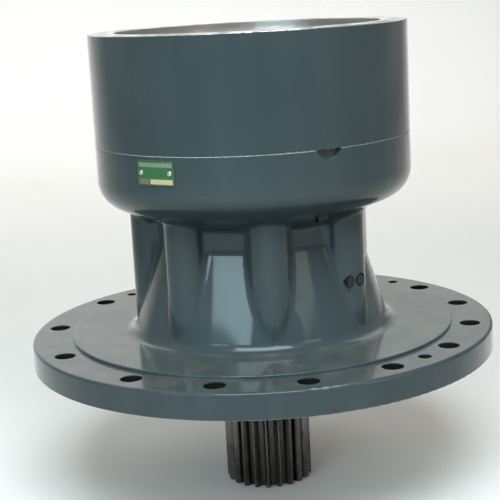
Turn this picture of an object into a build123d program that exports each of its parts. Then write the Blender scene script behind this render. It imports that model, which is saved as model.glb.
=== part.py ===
from build123d import *
import math
import os

# Swing gearbox: a two-stage planetary reducer in a flanged casing, with a toothed output shaft below.
# Millimetres. The origin is the centre of the flange's mounting face, +Z runs up the main axis to the
# motor end. Angles are degrees about +Z from +X.

# Mounting flange
flange_radius = 250.0
flange_rim_thickness = 27.0
flange_foot_round = 1.5
flange_edge_round = 3.0
disc_land = 43.0
disc_rise = 3.0
disc_edge_round = 1.5
bolt_edge_distance = 24.0
bolt_hole_radius = 11.0
bolt_angles = [0, 22.5, 45, 67.5, 90, 112.5, 135, 165, 195, 225, 247.5, 270, 292.5, 315, 337.5]
jack_hole_radius = 7.0
jack_hole_angle = -56.25
dowel_hole_radius = 6.0
dowel_hole_angles = [33.75, 123.75]
pilot_radius = 150.0
pilot_length = 12.0
pilot_edge_round = 1.0

# Neck of the casing, a cone that flares down to the flange between upright half-round ribs
neck_wall = 20.0
neck_round = 20.0
cone_drop = 24.0
cone_foot_radius = 139.0
foot_round = 14.0
rib_radius = 21.0
rib_reach = 136.0
rib_first_angle = -95.3
rib_spacing = 45.0
rib_positions = [-2, -1, 0, 1, 3, 4, 5]
rib_blend = 9.0
port_pad_wall = 28.0
port_pad_angles = (-45.0, 12.0)
port_pad_height = 76.0

# Drum of the casing, which the ring gear continues upwards, with its depths below the seam
seam_height = 234.0
shoulder_corner_depth = 58.0
shoulder_round = 30.0
shoulder_root_depth = 82.0
shoulder_root_round = 10.0
seam_chamfer = 1.0
notch_width = 27.0
notch_height = 10.0
notch_depth = 6.0
notch_angles = [-74.5, 105.5]

# Cavities of the casing
chamber_gap = 2.5
chamber_depth = 44.0
chamber_floor_round = 8.0
core_foot_gap = 12.0
core_head_wall = 10.0
lip_width = 9.0

# Ring gear
gear_module = 5.0
ring_teeth = 51
register_wall = 6.25
register_depth = 9.0
spigot_length = 6.0
spigot_bore_gap = 0.8
bolt_land = 16.0
drum_land = 11.5
drum_edge_round = 1.5
ring_bolt_count = 24
ring_bolt_first = -3.75
ring_bolt_hole = 6.75
tapped_hole = 5.1
tapped_depth = 28.0
pressure_angle = 20.0
backlash = 0.5
dowel_radius = 4.0
dowel_length = 20.0
dowel_positions = [3.75, 183.75]
tie_screw_radius = 5.0
tie_screw_clearance = 0.5
tie_head_radius = 8.0
tie_head_height = 10.0
tie_head_recess = 1.0
tie_screw_engagement = 18.0
tie_screw_first = 48.75
tie_screw_count = 4
seal_ring_width = 3.0
seal_ring_depth = 2.0
seal_ring_gap = 0.2

# Output stage and input stage of the planetary train, both inside the one ring gear
planets_per_stage = 3
output_sun_teeth = 21
input_sun_teeth = 15
output_planet_face = 38.0
input_planet_face = 31.0
output_pin_radius = 16.0
input_pin_radius = 18.0
bush_wall = 6.0
running_gap = 0.05
end_gap = 0.3
thrust_washer_thickness = 3.0
thrust_washer_land = 4.0
output_first_angle = 60.0
input_first_angle = 0.0

# Output carrier
carrier_gap = 8.0
carrier_hub_wall = 20.0
carrier_hub_step = 4.0
carrier_plate = 20.0
carrier_top_plate = 8.0
carrier_window_gap = 3.5
planet_pocket_gap = 2.5
pin_inset = 3.0
lock_pin_radius = 3.0
lock_pin_length = 30.0

# Input carrier and suns
stage_gap = 2.0
input_carrier_plate = 12.0
input_carrier_gap = 10.5
spline_radius = 38.0
spline_depth = 3.0
spline_teeth = 12
sun_bore_radius = 24.0
thrust_pad_width = 20.0
circlip_thickness = 2.0
circlip_groove = 2.0
circlip_land = 3.5
circlip_opening = 8.0
sun_ring_opening = 12.0
pin_stub = 1.0
sun_overrun = 2.5
socket_radius = 20.5
socket_teeth = 12
socket_depth = 2.5
sun_end_stub = 1.0
sun_washer_width = 6.0
sun_washer_thickness = 1.5
motor_gap = 0.8

# Output shaft
pinion_teeth = 21
pinion_module = 4.0
pinion_tip_radius = 47.0
pinion_root_radius = 38.0
pinion_face = 97.0
shaft_bottom = -149.0
shaft_neck_length = 6.0
shaft_shoulder_width = 6.0
shaft_shoulder_length = 6.0
shaft_chamfer = 2.0
centre_hole_radius = 8.0
shaft_lower_step = 3.0
shaft_upper_step = 2.0
nut_thread_step = 1.0
retainer_thickness = 6.0
retainer_overlap = 8.0
retainer_screw_circle = 22.0
retainer_screw_radius = 5.0
retainer_screw_head = 9.0
retainer_screw_length = 24.0
retainer_screw_count = 3
retainer_socket_hex = 3.0
retainer_socket_depth = 4.0

# Bearings, seal and cover
upper_bore_radius = 45.0
upper_section = 27.0
upper_width = 32.0
lower_section = 40.0
lower_width = 46.0
lower_base = 4.0
roller_share = 0.2
roller_length_share = 0.72
roller_tilt = 14.0
roller_count = 14
race_gap = 0.04
lock_washer_thickness = 2.0
lock_washer_width = 13.0
nut_wall = 16.0
nut_height = 16.0
nut_slots = 4
nut_slot_width = 10.0
nut_slot_depth = 5.0
collar_wall = 8.0
seal_width = 17.0
seal_height = 13.0
seal_lip = 4.0
cover_land = 14.0
cover_thickness = 12.0
cover_nose_step = 4.0
cover_nose_length = 12.0
cover_spigot_wall = 9.0
cover_bolt_count = 8
cover_bolt_radius = 5.0
cover_bolt_depth = 20.0
cover_bolt_hex = 8.0
cover_bolt_head = 6.5
hole_end_gap = 2.0

# Small fittings on the outside
plate_width = 45.0
plate_height = 25.0
plate_thickness = 0.8
plate_angle = -135.3
plate_drop = 16.5
rivet_spacing = 35.0
rivet_radius = 1.2
rivet_head_radius = 2.6
rivet_head_height = 1.2
rivet_depth = 5.0
pad_screw_angles = [-57.2, -50.8]
pad_screw_height = 90.0
pad_screw_radius = 3.0
pad_screw_hex = 5.0
pad_screw_head = 4.0
pad_screw_depth = 14.0
pad_screw_end_gap = 0.5
spotface_radius = 7.0
spotface_depth = 5.0
plug_angle = -72.8
plug_offset = 28.0
plug_thread_radius = 4.0
plug_hex = 5.5
plug_head = 5.0
plug_depth = 10.0
plug_end_gap = 1.0
plug_passage_radius = 2.0
plug_passage_length = 42.0
drain_angle = 62.2
drain_height = 84.0
drain_thread_radius = 9.0
drain_head_radius = 12.0
drain_head = 6.0
drain_depth = 16.0
drain_passage_radius = 5.0
drain_boss_radius = 17.0
drain_boss_wall = 42.0
socket_hex = 5.0

# Radii that follow from the sizes above
disc_radius = flange_radius - disc_land
bolt_circle_radius = flange_radius - bolt_edge_distance
ring_pitch = gear_module * ring_teeth / 2
ring_tip = ring_pitch - gear_module
ring_root = ring_pitch + 1.25 * gear_module
register_radius = ring_root + register_wall
ring_bolt_circle = register_radius + bolt_land
drum_radius = ring_bolt_circle + drum_land
chamber_radius = ring_pitch - chamber_gap
carrier_radius = chamber_radius - carrier_gap
input_carrier_radius = ring_tip - input_carrier_gap
output_planet_teeth = (ring_teeth - output_sun_teeth) // 2
input_planet_teeth = (ring_teeth - input_sun_teeth) // 2
output_centres = gear_module * (output_sun_teeth + output_planet_teeth) / 2
input_centres = gear_module * (input_sun_teeth + input_planet_teeth) / 2
carrier_window = gear_module * (output_sun_teeth / 2 + 1) + carrier_window_gap
carrier_hub_radius = spline_radius + carrier_hub_wall
retainer_radius = spline_radius + retainer_overlap
shaft_middle_radius = upper_bore_radius + shaft_upper_step
lower_bore_radius = shaft_middle_radius + shaft_lower_step
nut_thread_radius = upper_bore_radius - nut_thread_step
lock_washer_radius = nut_thread_radius + lock_washer_width
nut_radius = nut_thread_radius + nut_wall
upper_outer_radius = upper_bore_radius + upper_section
lower_outer_radius = lower_bore_radius + lower_section
shaft_shoulder_radius = lower_bore_radius + shaft_shoulder_width
seal_outer_radius = lower_bore_radius + collar_wall + seal_width
cover_nose_radius = lower_outer_radius - cover_nose_step
cover_bolt_circle = lower_outer_radius + cover_land
cover_radius = cover_bolt_circle + cover_land
core_radius = lower_outer_radius
neck_radius = core_radius + neck_wall
port_pad_radius = core_radius + port_pad_wall
drain_boss_reach = core_radius + drain_boss_wall
plug_circle = neck_radius + plug_offset
pad_screw_seat = rib_reach - spotface_depth

# Heights that follow from the sizes above
disc_top = flange_rim_thickness + disc_rise
shoulder_corner_height = seam_height - shoulder_corner_depth
shoulder_root_height = seam_height - shoulder_root_depth
cone_top = shoulder_root_height - cone_drop
port_pad_top = shoulder_root_height + shoulder_root_round
plate_centre_height = seam_height - plate_drop
chamber_floor = seam_height - chamber_depth
lower_top = lower_base + lower_width
upper_base = chamber_floor - upper_width
core_foot = lower_top + core_foot_gap
core_head = upper_base - core_head_wall
nut_base = chamber_floor + lock_washer_thickness
hub_base = nut_base + nut_height
plate_base = hub_base + carrier_hub_step
plate_top = plate_base + carrier_plate
output_planet_base = plate_top + thrust_washer_thickness + end_gap
output_planet_top = output_planet_base + output_planet_face
top_plate_base = output_planet_top + end_gap + thrust_washer_thickness
carrier_top = top_plate_base + carrier_top_plate
input_plate_base = carrier_top + stage_gap
input_plate_top = input_plate_base + input_carrier_plate
input_planet_base = input_plate_top + thrust_washer_thickness + end_gap
input_planet_top = input_planet_base + input_planet_face
circlip_base = input_planet_top + end_gap + thrust_washer_thickness
input_pin_top = circlip_base + circlip_thickness + pin_stub
register_floor = input_pin_top + motor_gap
ring_top = register_floor + register_depth
shaft_top = plate_top - retainer_thickness
sun_washer_base = input_plate_top + circlip_thickness + sun_end_stub
input_sun_base = sun_washer_base + sun_washer_thickness + end_gap
input_sun_top = input_planet_top + sun_overrun
output_thrust_top = output_planet_base + end_gap
output_sun_base = output_thrust_top + end_gap
pinion_top = shaft_bottom + pinion_face
collar_base = pinion_top + shaft_neck_length + shaft_shoulder_length
cover_top = -pilot_length
cover_base = cover_top - cover_thickness
cover_foot = cover_base - cover_nose_length
seal_top = cover_foot + seal_height


def turned(*corners):
    """Solid of revolution about Z from (radius, height) corners; a third value rounds that corner."""
    outline = make_face(Polyline(*[(c[0], c[1]) for c in corners], close=True))
    for corner in corners:
        if len(corner) > 2:
            place = (corner[0], corner[1], 0)
            outline = fillet(outline.vertices().sort_by_distance(place)[0], corner[2])
    return revolve(Plane.XZ * outline, Axis.Z)


def rod(radius, bottom, top, distance=0.0, angle=0.0):
    """Upright cylinder between two heights, at a distance and angle from the main axis."""
    spot = Rot(0, 0, angle) * Pos(distance, 0, bottom)
    return spot * Cylinder(radius, top - bottom, align=(Align.CENTER, Align.CENTER, Align.MIN))


def ring(inner, outer, bottom, top, distance=0.0, angle=0.0):
    """Upright tube between two heights."""
    return rod(outer, bottom, top, distance, angle) - rod(inner, bottom, top, distance, angle)


def radial(shape, angle, height, start):
    """Turn a shape that points along +Z from the origin so that it points outwards at an angle."""
    return Rot(0, 0, angle) * Pos(start, 0, height) * Rot(0, 90, 0) * shape


def bar(radius, length):
    return Cylinder(radius, length, align=(Align.CENTER, Align.CENTER, Align.MIN))


def hexagon_bar(half_flats, length):
    """Hexagonal bar, given half its width across flats."""
    return extrude(RegularPolygon(half_flats, 6, major_radius=False), length)


def wedge(radius, bottom, top, start, end):
    """Slice of a cylinder between two angles."""
    slice_of_disc = Cylinder(radius, top - bottom, arc_size=end - start,
                             align=(Align.NONE, Align.NONE, Align.MIN))
    return Rot(0, 0, start) * Pos(0, 0, bottom) * slice_of_disc


def even(count, first=0.0):
    return [first + 360.0 / count * i for i in range(count)]


def involute(angle):
    return math.tan(angle) - angle


def half_width_angle(radius, pitch_radius, width):
    """Half the angle of an involute tooth or space of a width at the pitch circle, seen at a radius."""
    alpha = math.radians(pressure_angle)
    base_radius = pitch_radius * math.cos(alpha)
    here = math.acos(base_radius / max(radius, base_radius))
    return width / (2 * pitch_radius) + involute(alpha) - involute(here)


def toothed_outline(teeth, pitch_radius, inner, outer, width, first):
    """Closed outline with involute lobes from an inner to an outer radius, the first at an angle."""
    middle = (2 * pitch_radius + inner + outer) / 4
    points = []
    for centre in even(teeth, first):
        for side, radii in ((-1, (inner, middle, outer)), (1, (outer, middle, inner))):
            for radius in radii:
                angle = math.radians(centre) + side * half_width_angle(radius, pitch_radius, width)
                points.append((radius * math.cos(angle), radius * math.sin(angle)))
    return make_face(Polyline(*points, close=True))


def spur_teeth(teeth, module, inner, outer, bottom, top, first):
    """External gear without its bore, its teeth thinned by half the backlash."""
    width = math.pi * module / 2 - backlash / 2
    outline = toothed_outline(teeth, module * teeth / 2, inner, outer, width, first)
    return Pos(0, 0, bottom) * extrude(outline, top - bottom)


def train_gear(teeth, bottom, top, first):
    """Gear of the planetary train at its standard depth."""
    pitch = gear_module * teeth / 2
    root = pitch - 1.25 * gear_module
    return spur_teeth(teeth, gear_module, root, pitch + gear_module, bottom, top, first)


def spline_bar(teeth, outer, depth, bottom, top):
    """Straight-sided spline, used both as the shaft and as the cutter of its hole."""
    half_tooth = 0.25 * 360.0 / teeth
    points = []
    for centre in even(teeth):
        for angle, radius in ((-half_tooth, outer - depth), (-half_tooth, outer),
                              (half_tooth, outer), (half_tooth, outer - depth)):
            turn = math.radians(centre + angle)
            points.append((radius * math.cos(turn), radius * math.sin(turn)))
    return Pos(0, 0, bottom) * extrude(make_face(Polyline(*points, close=True)), top - bottom)


def planet_phase(angle, planet_teeth):
    """Direction of one planet tooth that meets a space of the ring gear, for a planet at an angle."""
    pitch = 360.0 / ring_teeth
    to_space = round(angle / pitch) * pitch - angle
    return angle + to_space * ring_teeth / planet_teeth


def sun_phase(angle, planet_teeth, sun_teeth):
    """Direction of one sun tooth that meets the planet at an angle."""
    pitch = 360.0 / planet_teeth
    inward = angle + 180.0 - planet_phase(angle, planet_teeth)
    past_tooth = round(inward / pitch) * pitch - inward
    return angle - past_tooth * planet_teeth / sun_teeth + 180.0 / sun_teeth


def casing_outside():
    core = pilot_radius - cone_foot_radius
    return turned(
        (core, -pilot_length),
        (pilot_radius, -pilot_length, pilot_edge_round),
        (pilot_radius, 0),
        (flange_radius, 0, flange_foot_round),
        (flange_radius, flange_rim_thickness, flange_edge_round),
        (disc_radius, flange_rim_thickness),
        (disc_radius, disc_top, disc_edge_round),
        (cone_foot_radius, disc_top, foot_round),
        (neck_radius, cone_top, neck_round),
        (neck_radius, shoulder_root_height, shoulder_root_round),
        (drum_radius, shoulder_corner_height, shoulder_round),
        (drum_radius, seam_height, seam_chamfer),
        (core, seam_height),
    )


def casing_core():
    """Everything that is hollow on the main axis, from the cover's seat to the ring gear's seat."""
    groove = register_radius + seal_ring_width + seal_ring_gap
    return turned(
        (0, cover_top - 1),
        (lower_outer_radius, cover_top - 1),
        (lower_outer_radius, lower_top),
        (lower_outer_radius - lip_width, lower_top),
        (lower_outer_radius - lip_width, core_foot),
        (core_radius, core_foot),
        (core_radius, core_head),
        (upper_outer_radius - lip_width, core_head),
        (upper_outer_radius - lip_width, upper_base),
        (upper_outer_radius, upper_base),
        (upper_outer_radius, chamber_floor),
        (chamber_radius, chamber_floor, chamber_floor_round),
        (chamber_radius, seam_height - spigot_length),
        (register_radius, seam_height - spigot_length),
        (register_radius, seam_height - seal_ring_depth),
        (groove, seam_height - seal_ring_depth),
        (groove, seam_height + 1),
        (0, seam_height + 1),
    )


def flange_holes():
    holes = [rod(bolt_hole_radius, -1, disc_top, bolt_circle_radius, a) for a in bolt_angles]
    holes.append(rod(jack_hole_radius, -1, disc_top, bolt_circle_radius, jack_hole_angle))
    holes += [rod(dowel_hole_radius, -1, disc_top, bolt_circle_radius, a) for a in dowel_hole_angles]
    return holes


def seam_holes():
    """Holes in the casing's upper face for the motor bolts, the dowels and the tie screws."""
    holes = []
    for angle in even(ring_bolt_count, ring_bolt_first):
        holes.append(rod(tapped_hole, seam_height - tapped_depth, seam_height + 1, ring_bolt_circle, angle))
    holes += dowels()
    for angle in even(tie_screw_count, tie_screw_first):
        bottom = seam_height - tie_screw_engagement
        holes.append(rod(tie_screw_radius, bottom, seam_height + 1, ring_bolt_circle, angle))
    return holes


def cover_bolt_holes():
    top = cover_top + cover_bolt_depth
    holes = []
    for angle in even(cover_bolt_count, 180.0 / cover_bolt_count):
        holes.append(rod(cover_bolt_radius, cover_top - 1, top, cover_bolt_circle, angle))
    return holes


def pry_notches():
    """Half-moon pockets under the seam, where a bar lifts the ring gear off."""
    arc_radius = ((notch_width / 2) ** 2 + notch_height ** 2) / (2 * notch_height)
    height = seam_height - notch_height + arc_radius
    pocket = bar(arc_radius, 2 * notch_depth)
    return [radial(pocket, a, height, drum_radius - notch_depth) for a in notch_angles]


def plug_frame():
    """Place on the sloping underside of the shoulder, with +Z pointing out of it."""
    run = drum_radius - neck_radius
    rise = shoulder_corner_height - shoulder_root_height
    height = shoulder_root_height + plug_offset * rise / run
    tilt = 180.0 - math.degrees(math.atan2(rise, run))
    return Rot(0, 0, plug_angle) * Pos(plug_circle, 0, height) * Rot(0, tilt, 0)


def ribbed_casing():
    """The casing's outside with its ribs, which run into the neck and the shoulder in wide rounds."""
    plain = casing_outside()
    centres = rib_reach - rib_radius
    ribs = []
    for place in rib_positions:
        angle = rib_first_angle + rib_spacing * place
        ribs.append(rod(rib_radius, flange_rim_thickness, shoulder_corner_height, centres, angle))
    body = plain + ribs
    corners = new_edges(plain, *ribs, combined=body)
    return fillet(corners, rib_blend)


def pad_screw_holes():
    """Flat seats on the rib's foot and the holes that the screws go into."""
    spotface = bar(spotface_radius, 2 * spotface_depth)
    start = pad_screw_seat - pad_screw_depth
    holes = []
    for angle in pad_screw_angles:
        holes.append(radial(spotface, angle, pad_screw_height, pad_screw_seat))
        holes.append(radial(bar(pad_screw_radius, pad_screw_depth), angle, pad_screw_height, start))
    return holes


def plug_holes():
    """Threads and oil passages of the level plug and the drain plug."""
    place = plug_frame()
    drain_end = drain_boss_reach - drain_depth
    return [
        place * Pos(0, 0, -plug_depth) * bar(plug_thread_radius, 2 * plug_depth),
        place * Pos(0, 0, -plug_passage_length) * bar(plug_passage_radius, plug_passage_length),
        radial(bar(drain_thread_radius, 2 * drain_depth), drain_angle, drain_height, drain_end),
        radial(bar(drain_passage_radius, drain_boss_wall), drain_angle, drain_height, core_radius - 1),
    ]


def casing():
    pad = wedge(port_pad_radius, port_pad_top - port_pad_height, port_pad_top, *port_pad_angles)
    boss = radial(bar(drain_boss_radius, drain_boss_wall), drain_angle, drain_height, core_radius)
    body = ribbed_casing() + pad + boss - casing_core()
    cutters = flange_holes() + seam_holes() + cover_bolt_holes() + pry_notches() + rivet_shanks()
    return body - (cutters + pad_screw_holes() + plug_holes())


def dowels():
    bottom = seam_height - dowel_length / 2
    return [rod(dowel_radius, bottom, bottom + dowel_length, ring_bolt_circle, a) for a in dowel_positions]


def ring_gear():
    core = ring_tip - gear_module
    body = turned(
        (core, seam_height),
        (drum_radius, seam_height, seam_chamfer),
        (drum_radius, ring_top, drum_edge_round),
        (core, ring_top),
    )
    body += rod(register_radius, seam_height - spigot_length, seam_height + 1)
    space = math.pi * gear_module / 2 + backlash / 2
    hollow = toothed_outline(ring_teeth, ring_pitch, ring_tip, ring_root, space, 0.0)
    cutters = [
        Pos(0, 0, seam_height) * extrude(hollow, ring_top - seam_height),
        rod(ring_root + spigot_bore_gap, seam_height - spigot_length - 1, seam_height + 1),
        rod(register_radius, register_floor, ring_top + 1),
    ]
    body -= cutters
    holes = []
    for angle in even(ring_bolt_count, ring_bolt_first):
        holes.append(rod(ring_bolt_hole, seam_height - 1, ring_top + 1, ring_bolt_circle, angle))
    seat = ring_top - tie_head_height - tie_head_recess
    for angle in even(tie_screw_count, tie_screw_first):
        clear = tie_screw_radius + tie_screw_clearance
        holes.append(rod(clear, seam_height - 1, ring_top + 1, ring_bolt_circle, angle))
        clear = tie_head_radius + tie_screw_clearance
        holes.append(rod(clear, seat, ring_top + 1, ring_bolt_circle, angle))
    return body - (holes + dowels())


def socket_screw(shank_radius, length, head_radius, head_height, hexagon):
    """Socket head screw, its head standing on the origin's plane and its shank below."""
    screw = Pos(0, 0, -length) * bar(shank_radius, length + 1) + bar(head_radius, head_height)
    return screw - Pos(0, 0, head_height / 2) * hexagon_bar(hexagon, head_height)


def ring_screws():
    seat = ring_top - tie_head_height - tie_head_recess
    length = seat - (seam_height - tie_screw_engagement)
    screw = socket_screw(tie_screw_radius, length, tie_head_radius, tie_head_height, socket_hex)
    screw = Pos(ring_bolt_circle, 0, seat) * screw
    return [Rot(0, 0, a) * screw for a in even(tie_screw_count, tie_screw_first)]


def seal_ring():
    outer = register_radius + seal_ring_width
    return ring(register_radius, outer, seam_height - seal_ring_depth, seam_height)


class TaperBearing:
    """Sizes of one taper roller bearing; direction +1 widens the rollers' cone upwards."""

    def __init__(self, bore, outer, base, width, direction):
        self.bore = bore
        self.outer = outer
        self.base = base
        self.top = base + width
        self.direction = direction
        self.middle = (base + self.top) / 2
        self.centre = (bore + outer) / 2
        self.roller = roller_share * (outer - bore)
        self.length = roller_length_share * width
        self.tilt = math.radians(roller_tilt)

    def roller_radius(self, along):
        return self.roller * (1 + along * math.sin(self.tilt) / self.centre)

    def race_point(self, along, side):
        """Point on a race beside the roller, side -1 for the inner race and +1 for the outer."""
        reach = side * (self.roller_radius(along) + race_gap)
        radius = self.centre + along * math.sin(self.tilt) + reach * math.cos(self.tilt)
        height = along * math.cos(self.tilt) - reach * math.sin(self.tilt)
        return radius, self.middle + self.direction * height

    def race_radius(self, height, side):
        """Radius of a race's straight line at a height."""
        (r0, z0), (r1, z1) = self.race_point(-1.0, side), self.race_point(1.0, side)
        return r0 + (r1 - r0) * (height - z0) / (z1 - z0)

    def race(self, wall, side):
        return turned(
            (wall, self.base),
            (wall, self.top),
            (self.race_radius(self.top, side), self.top),
            (self.race_radius(self.base, side), self.base),
        )

    def cone(self):
        return self.race(self.bore, -1)

    def cup(self):
        return self.race(self.outer, 1)

    def rollers(self):
        half = self.length / 2
        roller = Cone(self.roller_radius(-half), self.roller_radius(half), self.length)
        if self.direction < 0:
            roller = Rot(180, 0, 0) * roller
        tilt = self.direction * roller_tilt
        return [Rot(0, 0, a) * Pos(self.centre, 0, self.middle) * Rot(0, tilt, 0) * roller
                for a in even(roller_count)]


lower_bearing = TaperBearing(lower_bore_radius, lower_outer_radius, lower_base, lower_width, -1)
upper_bearing = TaperBearing(upper_bore_radius, upper_outer_radius, upper_base, upper_width, 1)


def lock_washer():
    return ring(nut_thread_radius, lock_washer_radius, chamber_floor, nut_base)


def lock_nut():
    nut = ring(nut_thread_radius, nut_radius, nut_base, hub_base)
    slot = Box(2 * nut_slot_depth, nut_slot_width, nut_height, align=(Align.CENTER, Align.CENTER, Align.MIN))
    return nut - [Rot(0, 0, a) * Pos(nut_radius, 0, nut_base) * slot for a in even(nut_slots)]


def seal_collar():
    return ring(lower_bore_radius, lower_bore_radius + collar_wall, collar_base, lower_base)


def seal_cover():
    bore = lower_outer_radius - cover_spigot_wall
    lip = seal_outer_radius - 2 * seal_lip
    body = turned(
        (cover_radius, cover_top),
        (cover_radius, cover_base),
        (cover_nose_radius, cover_base),
        (cover_nose_radius, cover_foot),
        (seal_outer_radius, cover_foot),
        (seal_outer_radius, seal_top),
        (lip, seal_top),
        (lip, seal_top + seal_lip),
        (bore, seal_top + seal_lip),
        (bore, lower_base),
        (lower_outer_radius, lower_base),
        (lower_outer_radius, cover_top),
    )
    return body - cover_bolt_holes_through()


def cover_bolt_holes_through():
    return [rod(cover_bolt_radius, cover_base - 1, cover_top + 1, cover_bolt_circle, a)
            for a in even(cover_bolt_count, 180.0 / cover_bolt_count)]


def cover_bolts():
    """Hexagon head screws, heads down."""
    length = cover_thickness + cover_bolt_depth - hole_end_gap
    head = Pos(0, 0, -cover_bolt_head) * hexagon_bar(cover_bolt_hex, cover_bolt_head)
    screw = bar(cover_bolt_radius, length) + head
    return [Rot(0, 0, a) * Pos(cover_bolt_circle, 0, cover_base) * screw
            for a in even(cover_bolt_count, 180.0 / cover_bolt_count)]


def oil_seal():
    inner = lower_bore_radius + collar_wall + running_gap
    return turned(
        (seal_outer_radius, cover_foot),
        (seal_outer_radius, seal_top),
        (inner + 2 * seal_lip, seal_top),
        (inner, cover_foot + 2 * seal_lip),
        (inner, cover_foot + seal_lip),
        (inner + seal_lip, cover_foot),
    )


def pinion_shaft():
    teeth = spur_teeth(pinion_teeth, pinion_module, pinion_root_radius, pinion_tip_radius,
                       shaft_bottom, pinion_top, 0.0)
    depth = shaft_chamfer
    teeth &= turned(
        (0, shaft_bottom),
        (pinion_tip_radius - depth, shaft_bottom),
        (pinion_tip_radius, shaft_bottom + depth),
        (pinion_tip_radius, pinion_top - depth),
        (pinion_tip_radius - depth, pinion_top),
        (0, pinion_top),
    )
    neck_top = pinion_top + shaft_neck_length
    body = turned(
        (0, pinion_top),
        (pinion_root_radius, pinion_top),
        (pinion_root_radius, neck_top),
        (shaft_shoulder_radius, neck_top),
        (shaft_shoulder_radius, collar_base),
        (lower_bore_radius, collar_base),
        (lower_bore_radius, lower_top),
        (shaft_middle_radius, lower_top),
        (shaft_middle_radius, upper_base),
        (upper_bore_radius, upper_base),
        (upper_bore_radius, chamber_floor),
        (nut_thread_radius, chamber_floor),
        (nut_thread_radius, hub_base),
        (0, hub_base),
    )
    body += teeth
    body += spline_bar(spline_teeth, spline_radius, spline_depth, hub_base, shaft_top)
    centre_depth = 2 * centre_hole_radius
    centre = turned((0, shaft_bottom), (centre_hole_radius, shaft_bottom), (0, shaft_bottom + centre_depth))
    return body - ([centre] + around_shaft_end(countersunk_bar()))


def countersunk_bar():
    """Outline of a countersunk screw, flush with the retainer plate."""
    drop = retainer_screw_head - retainer_screw_radius
    return turned(
        (0, plate_top - retainer_screw_length),
        (retainer_screw_radius, plate_top - retainer_screw_length),
        (retainer_screw_radius, plate_top - drop),
        (retainer_screw_head, plate_top),
        (0, plate_top),
    )


def around_shaft_end(screw):
    return [Rot(0, 0, a) * Pos(retainer_screw_circle, 0, 0) * screw for a in even(retainer_screw_count)]


def retainer_plate():
    return rod(retainer_radius, shaft_top, plate_top) - around_shaft_end(countersunk_bar())


def retainer_screws():
    socket = hexagon_bar(retainer_socket_hex, retainer_socket_depth)
    return around_shaft_end(countersunk_bar() - Pos(0, 0, plate_top - retainer_socket_depth) * socket)


def output_angles():
    return even(planets_per_stage, output_first_angle)


def input_angles():
    return even(planets_per_stage, input_first_angle)


def lock_bars(length):
    """Round bars for the spring pins and their holes, from inside each planet pin outwards."""
    start = output_centres - output_pin_radius / 2
    height = plate_base + carrier_plate / 2
    return [radial(bar(lock_pin_radius, length), a, height, start) for a in output_angles()]


def lock_pins():
    """Spring pins, driven from the rim of the lower plate into each planet pin."""
    return lock_bars(lock_pin_length)


def output_carrier():
    body = rod(carrier_hub_radius, hub_base, plate_base + 1) + rod(carrier_radius, plate_base, plate_top)
    body += ring(carrier_window, carrier_radius, plate_top - 1, carrier_top)
    pocket = gear_module * output_planet_teeth / 2 + gear_module + planet_pocket_gap
    cutters = [spline_bar(spline_teeth, spline_radius, spline_depth, hub_base - 1, shaft_top + 1),
               rod(retainer_radius, shaft_top, plate_top + 1)]
    for angle in output_angles():
        cutters.append(rod(pocket, plate_top, top_plate_base, output_centres, angle))
        cutters.append(rod(output_pin_radius, plate_base + pin_inset, carrier_top + 1, output_centres, angle))
    return body - (cutters + lock_bars(carrier_radius))


def output_pins():
    bottom = plate_base + pin_inset
    pins = [rod(output_pin_radius, bottom, carrier_top, output_centres, a) for a in output_angles()]
    return [pin - lock for pin, lock in zip(pins, lock_pins())]


def thrust_rings(pin_radius, heights, centres, angles):
    rings = []
    for angle in angles:
        for height in heights:
            top = height + thrust_washer_thickness
            outer = pin_radius + bush_wall + thrust_washer_land
            rings.append(ring(pin_radius, outer, height, top, centres, angle))
    return rings


def output_thrust_washers():
    heights = (plate_top, top_plate_base - thrust_washer_thickness)
    return thrust_rings(output_pin_radius, heights, output_centres, output_angles())


def output_planet(angle):
    gear = train_gear(output_planet_teeth, output_planet_base, output_planet_top,
                      planet_phase(angle, output_planet_teeth) - angle)
    gear -= rod(output_pin_radius + bush_wall, output_planet_base, output_planet_top)
    return Rot(0, 0, angle) * Pos(output_centres, 0, 0) * gear


def output_bush(angle):
    return ring(output_pin_radius + running_gap, output_pin_radius + bush_wall,
                output_planet_base, output_planet_top, output_centres, angle)


def thrust_pad():
    return ring(sun_bore_radius, sun_bore_radius + thrust_pad_width, plate_top, output_thrust_top)


def output_sun():
    phase = sun_phase(output_first_angle, output_planet_teeth, output_sun_teeth)
    body = train_gear(output_sun_teeth, output_sun_base, top_plate_base, phase)
    shoulder = gear_module * output_sun_teeth / 2 - 1.25 * gear_module
    body += rod(shoulder, top_plate_base, input_plate_base)
    body += spline_bar(spline_teeth, spline_radius, spline_depth, input_plate_base, input_plate_top)
    groove = spline_radius - spline_depth - circlip_groove
    body += rod(groove, input_plate_top, input_plate_top + circlip_thickness)
    body += rod(spline_radius - spline_depth, input_plate_top + circlip_thickness, sun_washer_base)
    return body - rod(sun_bore_radius, output_sun_base - 1, sun_washer_base + 1)


def input_carrier():
    body = rod(input_carrier_radius, input_plate_base, input_plate_top)
    bottom, top = input_plate_base - 1, input_plate_top + 1
    cutters = [spline_bar(spline_teeth, spline_radius, spline_depth, bottom, top)]
    for angle in input_angles():
        cutters.append(rod(input_pin_radius, input_plate_base, top, input_centres, angle))
        between = angle + 180.0 / planets_per_stage
        cutters.append(rod(input_pin_radius, bottom, top, input_centres, between))
    return body - cutters


def open_ring(inner, outer, bottom, top, gap):
    """Retaining ring with a gap on the +X side."""
    opening = Box(2 * outer, gap, top - bottom, align=(Align.MIN, Align.CENTER, Align.MIN))
    return ring(inner, outer, bottom, top) - Pos(0, 0, bottom) * opening


def sun_retaining_ring():
    inner = spline_radius - spline_depth - circlip_groove
    top = input_plate_top + circlip_thickness
    return open_ring(inner, spline_radius + spline_depth, input_plate_top, top, sun_ring_opening)


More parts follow.
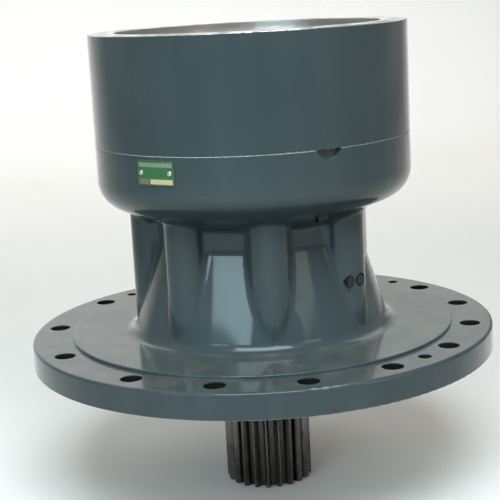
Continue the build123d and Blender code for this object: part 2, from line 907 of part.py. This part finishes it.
def input_pins():
    groove = input_pin_radius - circlip_groove
    pins = []
    for angle in input_angles():
        pin = rod(input_pin_radius, input_plate_base, input_pin_top, input_centres, angle)
        pins.append(pin - ring(groove, input_pin_radius + 1, circlip_base, circlip_base + circlip_thickness,
                               input_centres, angle))
    return pins


def input_circlips():
    clip = open_ring(input_pin_radius - circlip_groove, input_pin_radius + circlip_land, circlip_base,
                     circlip_base + circlip_thickness, circlip_opening)
    return [Rot(0, 0, a) * Pos(input_centres, 0, 0) * clip for a in input_angles()]


def input_thrust_washers():
    heights = (input_plate_top, circlip_base - thrust_washer_thickness)
    return thrust_rings(input_pin_radius, heights, input_centres, input_angles())


def input_planet(angle):
    gear = train_gear(input_planet_teeth, input_planet_base, input_planet_top,
                      planet_phase(angle, input_planet_teeth) - angle)
    gear -= rod(input_pin_radius + bush_wall, input_planet_base, input_planet_top)
    return Rot(0, 0, angle) * Pos(input_centres, 0, 0) * gear


def input_bush(angle):
    return ring(input_pin_radius + running_gap, input_pin_radius + bush_wall,
                input_planet_base, input_planet_top, input_centres, angle)


def sun_thrust_washer():
    outer = sun_bore_radius + sun_washer_width
    return ring(sun_bore_radius, outer, sun_washer_base, sun_washer_base + sun_washer_thickness)


def input_sun():
    phase = sun_phase(input_first_angle, input_planet_teeth, input_sun_teeth)
    body = train_gear(input_sun_teeth, input_sun_base, input_sun_top, phase)
    return body - spline_bar(socket_teeth, socket_radius, socket_depth, input_sun_base - 1, input_sun_top + 1)


def nameplate():
    half = math.degrees(plate_width / 2 / drum_radius)
    bottom = plate_centre_height - plate_height / 2
    top = plate_centre_height + plate_height / 2
    shell = ring(drum_radius, drum_radius + plate_thickness, bottom, top)
    plate = shell & wedge(drum_radius + 5, bottom, top, plate_angle - half, plate_angle + half)
    return plate - rivet_shanks()


def rivet_angles():
    half = math.degrees(rivet_spacing / 2 / drum_radius)
    return [plate_angle - half, plate_angle + half]


def rivet_shanks():
    length = rivet_depth + plate_thickness
    return [radial(bar(rivet_radius, length), a, plate_centre_height, drum_radius - rivet_depth)
            for a in rivet_angles()]


def rivets():
    """Drive screws with low domed heads."""
    length = rivet_depth + plate_thickness
    rivet = turned(
        (0, 0),
        (rivet_radius, 0),
        (rivet_radius, length),
        (rivet_head_radius, length),
        (rivet_head_radius, length + rivet_head_height, rivet_head_height * 0.8),
        (0, length + rivet_head_height),
    )
    return [radial(rivet, a, plate_centre_height, drum_radius - rivet_depth) for a in rivet_angles()]


def pad_screws():
    length = pad_screw_depth - pad_screw_end_gap
    screw = bar(pad_screw_radius, length) + Pos(0, 0, length) * hexagon_bar(pad_screw_hex, pad_screw_head)
    return [radial(screw, a, pad_screw_height, pad_screw_seat - length) for a in pad_screw_angles]


def level_plug():
    length = plug_depth - plug_end_gap
    plug = Pos(0, 0, -length) * bar(plug_thread_radius, length) + hexagon_bar(plug_hex, plug_head)
    return plug_frame() * plug


def drain_plug():
    plug = Pos(0, 0, -drain_depth) * bar(drain_thread_radius, drain_depth)
    plug += bar(drain_head_radius, drain_head)
    plug -= Pos(0, 0, drain_head / 3) * hexagon_bar(socket_hex, drain_head)
    return radial(plug, drain_angle, drain_height, drain_boss_reach)


def all_parts():
    """Node names with the solid or solids of each."""
    parts = {
        "casing": casing(),
        "ring_gear": ring_gear(),
        "ring_dowels": dowels(),
        "ring_screws": ring_screws(),
        "ring_seal": seal_ring(),
        "lower_bearing_cup": lower_bearing.cup(),
        "lower_bearing_cone": lower_bearing.cone(),
        "lower_bearing_rollers": lower_bearing.rollers(),
        "upper_bearing_cup": upper_bearing.cup(),
        "upper_bearing_cone": upper_bearing.cone(),
        "upper_bearing_rollers": upper_bearing.rollers(),
        "seal_cover": seal_cover(),
        "cover_bolts": cover_bolts(),
        "oil_seal": oil_seal(),
        "seal_collar": seal_collar(),
        "pinion_shaft": pinion_shaft(),
        "lock_washer": lock_washer(),
        "lock_nut": lock_nut(),
        "output_carrier": output_carrier(),
        "output_pins": output_pins(),
        "output_pin_locks": lock_pins(),
        "output_thrust_washers": output_thrust_washers(),
        "retainer_plate": retainer_plate(),
        "retainer_screws": retainer_screws(),
        "thrust_pad": thrust_pad(),
        "output_sun": output_sun(),
        "input_carrier": input_carrier(),
        "sun_retaining_ring": sun_retaining_ring(),
        "input_pins": input_pins(),
        "input_circlips": input_circlips(),
        "input_thrust_washers": input_thrust_washers(),
        "sun_thrust_washer": sun_thrust_washer(),
        "input_sun": input_sun(),
        "nameplate": nameplate(),
        "nameplate_rivets": rivets(),
        "pad_screws": pad_screws(),
        "level_plug": level_plug(),
        "drain_plug": drain_plug(),
    }
    for place, angle in enumerate(output_angles(), 1):
        parts[f"output_planet_{place}"] = output_planet(angle)
        parts[f"output_bush_{place}"] = output_bush(angle)
    for place, angle in enumerate(input_angles(), 1):
        parts[f"input_planet_{place}"] = input_planet(angle)
        parts[f"input_bush_{place}"] = input_bush(angle)
    return parts


os.makedirs("parts", exist_ok=True)
for name, shape in all_parts().items():
    if isinstance(shape, list):
        shape = Compound(children=[solid for item in shape for solid in item.solids()])
    export_step(shape, f"parts/{name}.step")
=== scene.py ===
import bpy
import math
from mathutils import Matrix, Vector


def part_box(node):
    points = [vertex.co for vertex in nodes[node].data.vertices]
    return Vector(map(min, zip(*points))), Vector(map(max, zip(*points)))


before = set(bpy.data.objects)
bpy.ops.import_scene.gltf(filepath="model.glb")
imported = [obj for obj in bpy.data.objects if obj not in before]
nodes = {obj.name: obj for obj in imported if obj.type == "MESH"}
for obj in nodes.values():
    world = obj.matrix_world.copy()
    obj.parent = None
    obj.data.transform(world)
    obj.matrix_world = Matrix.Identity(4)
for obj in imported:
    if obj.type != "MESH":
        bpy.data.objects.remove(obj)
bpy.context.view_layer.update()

# Metres, in the part's own frame. Heights and radii of whole pieces are read from the frame.
drum_low, drum_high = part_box("ring_gear")
casing_low, casing_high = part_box("casing")
plate_low, plate_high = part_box("nameplate")
drum_radius = (drum_high.x - drum_low.x) / 2
top_height = drum_high.z
seam_height = casing_high.z
rim_radius = (casing_high.x - casing_low.x) / 2
floor_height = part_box("pinion_shaft")[0].z

# Where bare metal, the painted shade in the flange holes and grease end, in metres. Most lie a little
# beyond the machined face itself.
BARE_CHAMBER_RADIUS = 0.1264
BARE_CHAMBER_FROM = 0.1805
BARE_CORE_RADIUS = 0.09475
BARE_UNDERSIDE_TOP = 0.0006
BARE_COVER_RADIUS = 0.075
# Painted shade in the flange holes reaches up to this height and stops this far inside the rim
SHADED_HOLE_TOP = 0.026
UNSHADED_RIM_WIDTH = 0.010
THICK_GREASE_RADIUS = 0.0395
THIN_GREASE_RADIUS = 0.0445

# Colours, in linear light
PAINT = (0.037, 0.058, 0.065)
PAINT_WORN = (0.050, 0.073, 0.079)
# Painted highlight on the seam's lower edge
SEAM_HIGHLIGHT = (0.34, 0.40, 0.42)
# Dust, and a painted warm reflection where it lies as a film on faces that look up
DUST_AND_REFLECTION = (0.34, 0.28, 0.19)
# Painted shade on the walls of the flange holes
HOLE_SHADE = (0.010, 0.010, 0.009)
GREASE = (0.024, 0.018, 0.012)
MACHINED_DARK = (0.42, 0.41, 0.38)
MACHINED_LIGHT = (0.72, 0.71, 0.68)
ROOM_LIGHT = (1.0, 0.97, 0.93)


def socket(value):
    """A node's first output, or the value itself."""
    return value.outputs[0] if hasattr(value, "outputs") else value


class Shader:
    """A material under construction: a Principled surface and the nodes that feed it."""

    def __init__(self, name):
        self.material = bpy.data.materials.new(name)
        self.material.use_nodes = True
        self.tree = self.material.node_tree
        self.surface = self.tree.nodes["Principled BSDF"]
        self.place = self.add("ShaderNodeTexCoord").outputs["Object"]
        self.split = self.add("ShaderNodeSeparateXYZ", self.place)

    def add(self, kind, *inputs, **settings):
        """Adds a node, sets its properties, and fills its inputs in order."""
        node = self.tree.nodes.new(kind)
        for key, value in settings.items():
            setattr(node, key, value)
        for place, value in enumerate(inputs):
            self.feed(node.inputs[place], value)
        return node

    def feed(self, target, value):
        """Links a node or socket to the target, or writes a number, vector or colour into it."""
        value = socket(value)
        if isinstance(value, bpy.types.NodeSocket):
            self.tree.links.new(value, target)
            return
        if isinstance(value, tuple) and len(value) < len(target.default_value):
            value = (*value, 1.0)
        target.default_value = value

    def math(self, operation, first, *others):
        """The operation on one value, or on two and then on its result and each further value."""
        if not others:
            return self.add("ShaderNodeMath", first, operation=operation)
        for value in others:
            first = self.add("ShaderNodeMath", first, value, operation=operation)
        return first

    def height(self):
        """Height above the flange's underside."""
        return self.split.outputs["Z"]

    def facing_up(self):
        """1 where the surface faces up, 0 on a wall, -1 underneath."""
        normal = self.add("ShaderNodeNewGeometry").outputs["Normal"]
        return self.add("ShaderNodeSeparateXYZ", normal).outputs["Z"]

    def radius(self):
        """Distance from the main axis."""
        x, y = self.split.outputs["X"], self.split.outputs["Y"]
        return self.math("SQRT", self.math("ADD", self.math("MULTIPLY", x, x), self.math("MULTIPLY", y, y)))

    def ramp(self, value, low, high, first=0.0, last=1.0):
        """Smooth change from first to last while the value goes from low to high."""
        node = self.add("ShaderNodeMapRange", value, low, high, first, last)
        node.clamp = True
        node.interpolation_type = "SMOOTHSTEP"
        return node

    def below(self, value, limit, blur):
        """1 under the limit and 0 over it, with a short blur between."""
        return self.ramp(value, limit - blur / 2, limit + blur / 2, 1.0, 0.0)

    def above(self, value, limit, blur):
        """0 under the limit and 1 over it, with a short blur between."""
        return self.ramp(value, limit - blur / 2, limit + blur / 2)

    def noise(self, scale, detail, roughness, vector=None):
        """Cloudy pattern between 0 and 1; the larger the scale, the finer the clouds."""
        node = self.add("ShaderNodeTexNoise", vector or self.place)
        node.inputs["Scale"].default_value = scale
        node.inputs["Detail"].default_value = detail
        node.inputs["Roughness"].default_value = roughness
        return node.outputs["Fac"]

    def stretched(self, x, y, z):
        """Position scaled by a factor along each axis."""
        node = self.add("ShaderNodeMapping", self.place)
        node.inputs["Scale"].default_value = (x, y, z)
        return node.outputs["Vector"]

    def mix(self, share, first, second):
        """Colour between two colours."""
        node = self.add("ShaderNodeMix", data_type="RGBA")
        self.feed(node.inputs["Factor"], share)
        for name, value in (("A", first), ("B", second)):
            target = [i for i in node.inputs if i.name == name and i.type == "RGBA"][0]
            self.feed(target, value)
        return [o for o in node.outputs if o.type == "RGBA"][0]

    def blend(self, share, first, second):
        """Number between two numbers."""
        node = self.add("ShaderNodeMix", data_type="FLOAT")
        for name, value in (("Factor", share), ("A", first), ("B", second)):
            target = [i for i in node.inputs if i.name == name and i.type == "VALUE"][0]
            self.feed(target, value)
        return [o for o in node.outputs if o.type == "VALUE"][0]

    def bump(self, height, strength, distance):
        """Relief in the light on the surface; the distance is its depth in metres."""
        node = self.add("ShaderNodeBump")
        node.inputs["Strength"].default_value = strength
        node.inputs["Distance"].default_value = distance
        self.feed(node.inputs["Height"], height)
        self.feed(self.surface.inputs["Normal"], node.outputs["Normal"])

    def finish(self, colour, metallic, roughness, **others):
        """Fills the surface's inputs; others are socket names with underscores for spaces."""
        self.feed(self.surface.inputs["Base Color"], colour)
        self.feed(self.surface.inputs["Metallic"], metallic)
        self.feed(self.surface.inputs["Roughness"], roughness)
        for name, value in others.items():
            self.surface.inputs[name.replace("_", " ")].default_value = value
        return self.material


def steel_marks(shader):
    """Fine turning marks round the main axis, for machined faces."""
    marks_per_metre = 900.0
    rings = shader.add("ShaderNodeCombineXYZ", shader.math("MULTIPLY", shader.radius(), marks_per_metre),
                       shader.math("MULTIPLY", shader.height(), marks_per_metre), 0.0)
    return shader.noise(1.0, 2.0, 0.6, rings)


def painted(name, bare, shaded=None):
    """Glossy slate paint, with bare metal where the function bare says and painted shade where the second
    function says.
    """
    shader = Shader(name)
    share = bare(shader)

    # The paint's own colour, a little paler in blotches and in runs from top to bottom
    blotches = shader.noise(9.0, 2.0, 0.5)
    runs = shader.noise(4.0, 2.0, 0.5, shader.stretched(9.0, 9.0, 1.2))
    worn = shader.ramp(shader.blend(0.5, blotches, runs), 0.30, 0.80)
    colour = shader.mix(worn, PAINT, PAINT_WORN)

    # Dust and painted reflection: a thin film on faces that look up, partly dust and partly a painted warm
    # reflection, and specks of dust in patches
    film_share, speck_share = 0.13, 0.8
    film = shader.math("MULTIPLY", shader.ramp(shader.facing_up(), 0.75, 0.98, 0.0, film_share),
                       shader.ramp(runs, 0.35, 0.65, 0.5, 1.0))
    specks = shader.ramp(shader.noise(260.0, 2.0, 0.7), 0.73, 0.79)
    patches = shader.ramp(shader.noise(14.0, 2.0, 0.5), 0.50, 0.62)
    colour = shader.mix(film, colour, DUST_AND_REFLECTION)
    colour = shader.mix(shader.math("MULTIPLY", specks, patches, speck_share), colour, DUST_AND_REFLECTION)

    # Painted highlight: the lower edge of the seam, which looks up, is painted pale
    highlight_share, highlight_reach, highlight_blur = 0.9, 0.0012, 0.0004
    from_seam = shader.math("ABSOLUTE", shader.math("SUBTRACT", shader.height(), seam_height))
    painted_highlight = shader.math("MULTIPLY", shader.below(from_seam, highlight_reach, highlight_blur),
                        shader.ramp(shader.facing_up(), 0.4, 0.6), highlight_share)
    colour = shader.mix(painted_highlight, colour, SEAM_HIGHLIGHT)

    # Bare metal, then painted shade on the walls of the flange holes
    marks = steel_marks(shader)
    colour = shader.mix(share, colour, shader.mix(marks, MACHINED_DARK, MACHINED_LIGHT))
    if shaded:
        colour = shader.mix(shaded(shader), colour, HOLE_SHADE)
    metal_roughness = 0.30
    paint_roughness = shader.ramp(blotches, 0.3, 0.7, 0.28, 0.36)
    roughness = shader.blend(share, paint_roughness, metal_roughness)

    # Relief: the casting's waviness and the paint's orange peel, or the turning marks
    peel = shader.math("MULTIPLY", shader.noise(330.0, 2.0, 0.5), 0.25)
    waviness = shader.noise(45.0, 3.0, 0.55)
    turning = shader.math("MULTIPLY", marks, 0.3)
    relief = shader.blend(share, shader.math("ADD", peel, waviness), turning)
    shader.bump(relief, strength=0.18, distance=0.0012)
    return shader.finish(colour, share, roughness, Specular_IOR_Level=0.12, Coat_Weight=1.0, Coat_IOR=1.3,
                         Coat_Roughness=0.08)


def bare_in_casing(shader):
    """The inside, the pilot and the mounting faces are machined."""
    under = shader.below(shader.height(), BARE_UNDERSIDE_TOP, 0.0004)
    seat = shader.above(shader.height(), seam_height - 0.0003, 0.0002)
    core = shader.below(shader.radius(), BARE_CORE_RADIUS, 0.0005)
    chamber = shader.math("MULTIPLY", shader.below(shader.radius(), BARE_CHAMBER_RADIUS, 0.0004),
                          shader.above(shader.height(), BARE_CHAMBER_FROM, 0.001))
    return shader.math("MAXIMUM", under, seat, core, chamber)


def shade_in_holes(shader):
    """Painted shade: the walls of the holes in the flange are darkened."""
    share = 0.95
    wall = shader.below(shader.math("ABSOLUTE", shader.facing_up()), 0.45, 0.3)
    within_rim = shader.below(shader.radius(), rim_radius - UNSHADED_RIM_WIDTH, 0.004)
    in_flange = shader.below(shader.height(), SHADED_HOLE_TOP, 0.001)
    return shader.math("MULTIPLY", wall, within_rim, in_flange, share)


def bare_on_ring(shader):
    """Everything but the ring gear's outside is machined; the paint stops in a slightly uneven line."""
    uneven = 0.0006
    wander = shader.ramp(shader.noise(120.0, 3.0, 0.6), 0.0, 1.0, -uneven, uneven)
    top = shader.above(shader.math("ADD", shader.height(), wander), top_height - 0.0008, 0.0004)
    inside = shader.below(shader.radius(), drum_radius - 0.0006, 0.0004)
    return shader.math("MAXIMUM", top, inside)


def bare_on_cover(shader):
    """The cover is machined where the seal sits."""
    return shader.below(shader.radius(), BARE_COVER_RADIUS, 0.001)


def steel(name, dark, light, roughness, scale=220.0, metallic=1.0, stain=None):
    """Machined or ground steel with fine marks and, if named, stains of oil or grease."""
    shader = Shader(name)
    grain = shader.noise(scale, 3.0, 0.6, shader.stretched(1.0, 1.0, 0.12))
    colour = shader.mix(grain, dark, light)
    rough = shader.ramp(grain, 0.3, 0.7, roughness * 0.8, roughness * 1.25)
    if stain:
        patch = shader.ramp(shader.noise(28.0, 4.0, 0.65), 0.42, 0.62)
        colour = shader.mix(patch, colour, stain)
    shader.bump(grain, 0.12, 0.0004)
    return shader.finish(colour, metallic, rough)


def oily_pinion():
    """Hardened teeth, dark with old grease that is thickest between them and streaks down."""
    shader = Shader("oily_pinion_steel")
    streak = shader.noise(60.0, 4.0, 0.6, shader.stretched(1.0, 1.0, 0.15))
    film = shader.noise(24.0, 4.0, 0.6)
    steel_colour = shader.mix(streak, (0.07, 0.064, 0.056), (0.22, 0.205, 0.185))
    valley = shader.ramp(shader.radius(), THICK_GREASE_RADIUS, THIN_GREASE_RADIUS, 0.95, 0.25)
    share = shader.math("MINIMUM", shader.math("ADD", valley, shader.ramp(film, 0.45, 0.65, 0.0, 0.5)), 1.0)
    colour = shader.mix(share, steel_colour, GREASE)
    metallic = shader.blend(share, 0.95, 0.25)
    roughness = shader.blend(film, 0.24, 0.42)
    shader.bump(shader.blend(0.5, streak, film), 0.25, 0.0008)
    return shader.finish(colour, metallic, roughness, Coat_Weight=0.4, Coat_Roughness=0.15)


def cast_iron():
    """Rough, unpainted casting inside the gearbox."""
    shader = Shader("rough_cast_iron")
    sand = shader.noise(420.0, 3.0, 0.6)
    colour = shader.mix(sand, (0.09, 0.085, 0.08), (0.20, 0.19, 0.18))
    shader.bump(sand, 0.35, 0.0008)
    return shader.finish(colour, 0.7, shader.ramp(sand, 0.3, 0.7, 0.42, 0.60))


def rubber():
    """Matt black rubber of the seals."""
    shader = Shader("seal_rubber")
    grain = shader.noise(500.0, 2.0, 0.5)
    shader.bump(grain, 0.2, 0.0003)
    colour = shader.mix(grain, (0.012, 0.012, 0.012), (0.030, 0.028, 0.026))
    return shader.finish(colour, 0.0, shader.ramp(grain, 0.3, 0.7, 0.45, 0.65))


def nameplate():
    """Generic printed plate: green field, pale rule at the top, cream panel at the bottom right."""
    shader = Shader("nameplate_print")
    centre = (plate_low + plate_high) / 2
    tangent = Vector((-centre.y, centre.x, 0)).normalized()
    along = shader.add("ShaderNodeVectorMath", shader.place, tuple(tangent), operation="DOT_PRODUCT")
    across = shader.math("SUBTRACT", along.outputs["Value"], centre.dot(tangent))
    up = shader.math("SUBTRACT", shader.height(), centre.z)

    def panel(left, right, bottom, top):
        """1 inside a rectangle, measured from the plate's centre."""
        return shader.math("MULTIPLY", shader.math("GREATER_THAN", across, left),
                           shader.math("LESS_THAN", across, right), shader.math("GREATER_THAN", up, bottom),
                           shader.math("LESS_THAN", up, top))

    side = 0.0205
    rule = panel(-side, side, 0.0058, 0.0100)
    cream_panel = panel(-0.0060, side, -0.0108, -0.0060)
    dark_panel = panel(-side, -0.0080, -0.0108, -0.0060)
    frame_line = shader.math("SUBTRACT", 1.0, panel(-0.0215, 0.0215, -0.0115, 0.0115))
    grime = shader.noise(300.0, 4.0, 0.65)
    scratches = shader.ramp(shader.noise(700.0, 2.0, 0.7), 0.62, 0.70, 0.0, 0.6)

    colour = shader.mix(grime, (0.015, 0.09, 0.035), (0.05, 0.22, 0.08))
    for share, tint in ((rule, (0.22, 0.30, 0.20)), (cream_panel, (0.62, 0.56, 0.30)),
                        (dark_panel, (0.16, 0.20, 0.13)), (frame_line, (0.07, 0.08, 0.075)),
                        (scratches, (0.35, 0.38, 0.30))):
        colour = shader.mix(share, colour, tint)
    shader.bump(grime, strength=0.15, distance=0.0002)
    return shader.finish(colour, 0.25, shader.ramp(grime, 0.3, 0.7, 0.28, 0.42))


MATERIALS = {
    "casing_paint": painted("casing_paint", bare_in_casing, shade_in_holes),
    "ring_paint": painted("ring_paint", bare_on_ring),
    "cover_paint": painted("cover_paint", bare_on_cover),
    "gear_steel": steel("gear_steel", (0.26, 0.25, 0.23), (0.44, 0.43, 0.40), roughness=0.30,
                        stain=(0.16, 0.13, 0.09)),
    "bearing_steel": steel("bearing_steel", (0.60, 0.60, 0.59), (0.78, 0.78, 0.77), roughness=0.14,
                           scale=400.0),
    "machined_steel": steel("machined_steel", (0.42, 0.42, 0.40), (0.62, 0.61, 0.59), roughness=0.28),
    "zinc_steel": steel("zinc_steel", (0.50, 0.51, 0.50), (0.72, 0.72, 0.68), roughness=0.24, scale=350.0),
    "black_steel": steel("black_steel", (0.025, 0.025, 0.026), (0.060, 0.060, 0.060), roughness=0.36,
                         scale=300.0, metallic=0.8),
    "bronze": steel("bronze", (0.42, 0.26, 0.10), (0.66, 0.45, 0.20), roughness=0.26),
    "pinion_steel": oily_pinion(),
    "cast_iron": cast_iron(),
    "rubber": rubber(),
    "nameplate": nameplate(),
}
FINISH = {
    "casing": "casing_paint", "ring_gear": "ring_paint", "seal_cover": "cover_paint",
    "nameplate": "nameplate", "pinion_shaft": "pinion_steel", "output_carrier": "cast_iron",
    "input_carrier": "gear_steel", "oil_seal": "rubber", "ring_seal": "rubber",
    "seal_collar": "machined_steel", "lock_nut": "machined_steel", "lock_washer": "machined_steel",
    "retainer_plate": "machined_steel", "output_pin_locks": "machined_steel",
    "output_pins": "bearing_steel", "input_pins": "bearing_steel", "ring_dowels": "bearing_steel",
    "ring_screws": "black_steel", "retainer_screws": "black_steel", "sun_retaining_ring": "black_steel",
    "input_circlips": "black_steel", "cover_bolts": "zinc_steel", "nameplate_rivets": "zinc_steel",
    "pad_screws": "black_steel", "drain_plug": "zinc_steel", "level_plug": "black_steel",
}
BY_WORD = {"bearing": "bearing_steel", "bush": "bronze", "thrust": "bronze", "planet": "gear_steel",
           "sun": "gear_steel"}


def finish_of(name):
    """A node's own finish, or the one that belongs to a word in its name."""
    if name in FINISH:
        return FINISH[name]
    return next(finish for word, finish in BY_WORD.items() if word in name)


for name, piece in nodes.items():
    piece.data.materials.clear()
    piece.data.materials.append(MATERIALS[finish_of(name)])


def camera():
    """Camera at the photograph's place: low, in front, tipped so that the object leans to the left."""
    distance, height, bearing = 1.3675, 0.3918, math.radians(-100.4)
    heading, down, roll = math.radians(-10.4) + 0.0066, 0.2043, -0.0530
    data = bpy.data.cameras.new("camera")
    data.sensor_width = 36.0
    data.lens = 92.3
    data.clip_end = 20.0
    eye = bpy.data.objects.new("camera", data)
    bpy.context.scene.collection.objects.link(eye)
    turn = (Matrix.Rotation(heading, 4, "Z") @ Matrix.Rotation(math.pi / 2 - down, 4, "X")
            @ Matrix.Rotation(roll, 4, "Z"))
    place = Vector((distance * math.cos(bearing), distance * math.sin(bearing), height))
    eye.matrix_world = Matrix.Translation(place) @ turn
    bpy.context.scene.camera = eye


def seen_directly(tree):
    """1 on rays from the camera and on their mirrored and clear paths, 0 on scattered light."""
    path = tree.nodes.new("ShaderNodeLightPath").outputs
    share = path["Is Camera Ray"]
    for name in ("Is Glossy Ray", "Is Transmission Ray"):
        larger = tree.nodes.new("ShaderNodeMath")
        larger.operation = "MAXIMUM"
        tree.links.new(share, larger.inputs[0])
        tree.links.new(path[name], larger.inputs[1])
        share = larger.outputs[0]
    return share


def stage():
    """Pale floor that sweeps up into a pale backdrop behind the object."""
    half_width, front, back = 9.0, -9.0, 3.4
    bend, steps, wall = 1.0, 16, 3.2
    clearance = 0.0003
    lit_place, lit_reach, dark_reach, glow = (0.0, 2.5, 0.0), 3.6, 6.5, 0.33

    # The floor looks pale but throws little light back, and glows where the lamps don't reach
    shader = Shader("studio_floor")
    pale = shader.mix(shader.noise(3.0, 2.0, 0.5), (0.90, 0.89, 0.87), (0.94, 0.93, 0.91))
    seen = seen_directly(shader.tree)
    colour = shader.mix(seen, (0.30, 0.28, 0.25), pale)
    material = shader.finish(colour, 0.0, 0.8, Emission_Color=(*ROOM_LIGHT, 1.0))
    away = shader.add("ShaderNodeVectorMath", shader.place, lit_place, operation="DISTANCE")
    far = shader.ramp(away.outputs["Value"], lit_reach, dark_reach, 0.0, glow)
    shader.feed(shader.surface.inputs["Emission Strength"], shader.math("MULTIPLY", far, seen))

    # A flat floor, a quarter of a circle, and a wall
    profile = [(front, 0.0)]
    for step in range(steps + 1):
        angle = math.pi / 2 * step / steps
        profile.append((back - bend + bend * math.sin(angle), bend - bend * math.cos(angle)))
    profile.append((back, wall))
    ground = floor_height - clearance
    corners = [(x, y, z + ground) for y, z in profile for x in (-half_width, half_width)]
    faces = [(2 * i, 2 * i + 1, 2 * i + 3, 2 * i + 2) for i in range(len(profile) - 1)]
    mesh = bpy.data.meshes.new("studio_floor")
    mesh.from_pydata(corners, [], faces)
    mesh.polygons.foreach_set("use_smooth", [True] * len(faces))
    mesh.materials.append(material)
    sweep = bpy.data.objects.new("studio_floor", mesh)
    bpy.context.scene.collection.objects.link(sweep)


def soft_light(name, bearing, elevation, distance, width, height, radiance, colour,
               aim=(0, 0, 0.12), spread=180.0):
    """Area lamp that looks at the object; its power follows from its size and how bright it looks."""
    data = bpy.data.lights.new(name, "AREA")
    data.shape = "RECTANGLE"
    data.size, data.size_y = width, height
    data.energy = radiance * math.pi * width * height
    data.color = colour
    data.spread = math.radians(spread)
    lamp = bpy.data.objects.new(name, data)
    bpy.context.scene.collection.objects.link(lamp)
    side, rise = math.radians(bearing), math.radians(elevation)
    towards = Vector((math.cos(side) * math.cos(rise), math.sin(side) * math.cos(rise), math.sin(rise)))
    lamp.location = Vector(aim) + distance * towards
    lamp.rotation_euler = (-towards).to_track_quat("-Z", "Y").to_euler()


def lights():
    """A low window and a high one in front, weak fills round the object, and a lamp for the backdrop."""
    soft_light("window", bearing=-130, elevation=18, distance=2.6, width=1.6, height=0.34, radiance=10.5,
               colour=(0.66, 0.90, 1.0))
    soft_light("top", bearing=-100, elevation=53, distance=2.3, width=1.6, height=1.15, radiance=11.0,
               colour=(0.86, 0.97, 1.0))
    soft_light("right_fill", bearing=-55, elevation=24, distance=2.8, width=0.8, height=1.0, radiance=2.4,
               colour=(1.0, 0.95, 0.88))
    soft_light("left_fill", bearing=170, elevation=38, distance=2.8, width=0.8, height=1.0, radiance=0.5,
               colour=(1.0, 0.90, 0.78))
    soft_light("back_fill", bearing=72, elevation=46, distance=3.2, width=3.8, height=2.2, radiance=1.1,
               colour=(1.0, 0.96, 0.91))
    soft_light("backdrop", bearing=-90, elevation=60, distance=2.6, width=5.0, height=0.6, radiance=2.5,
               colour=(1.0, 1.0, 1.0), aim=(0, 3.0, 0.4), spread=100.0)


def room():
    """Even light from all sides; seen directly it is paler than the light that it gives."""
    given, seen = 0.18, 0.42
    world = bpy.data.worlds.new("studio")
    bpy.context.scene.world = world
    world.use_nodes = True
    tree = world.node_tree
    strength = tree.nodes.new("ShaderNodeMapRange")
    strength.inputs["To Min"].default_value = given
    strength.inputs["To Max"].default_value = seen
    tree.links.new(seen_directly(tree), strength.inputs["Value"])
    background = tree.nodes["Background"]
    background.inputs["Color"].default_value = (*ROOM_LIGHT, 1.0)
    tree.links.new(strength.outputs["Result"], background.inputs["Strength"])


camera()
stage()
lights()
room()
bpy.context.scene.view_settings.view_transform = "Standard"
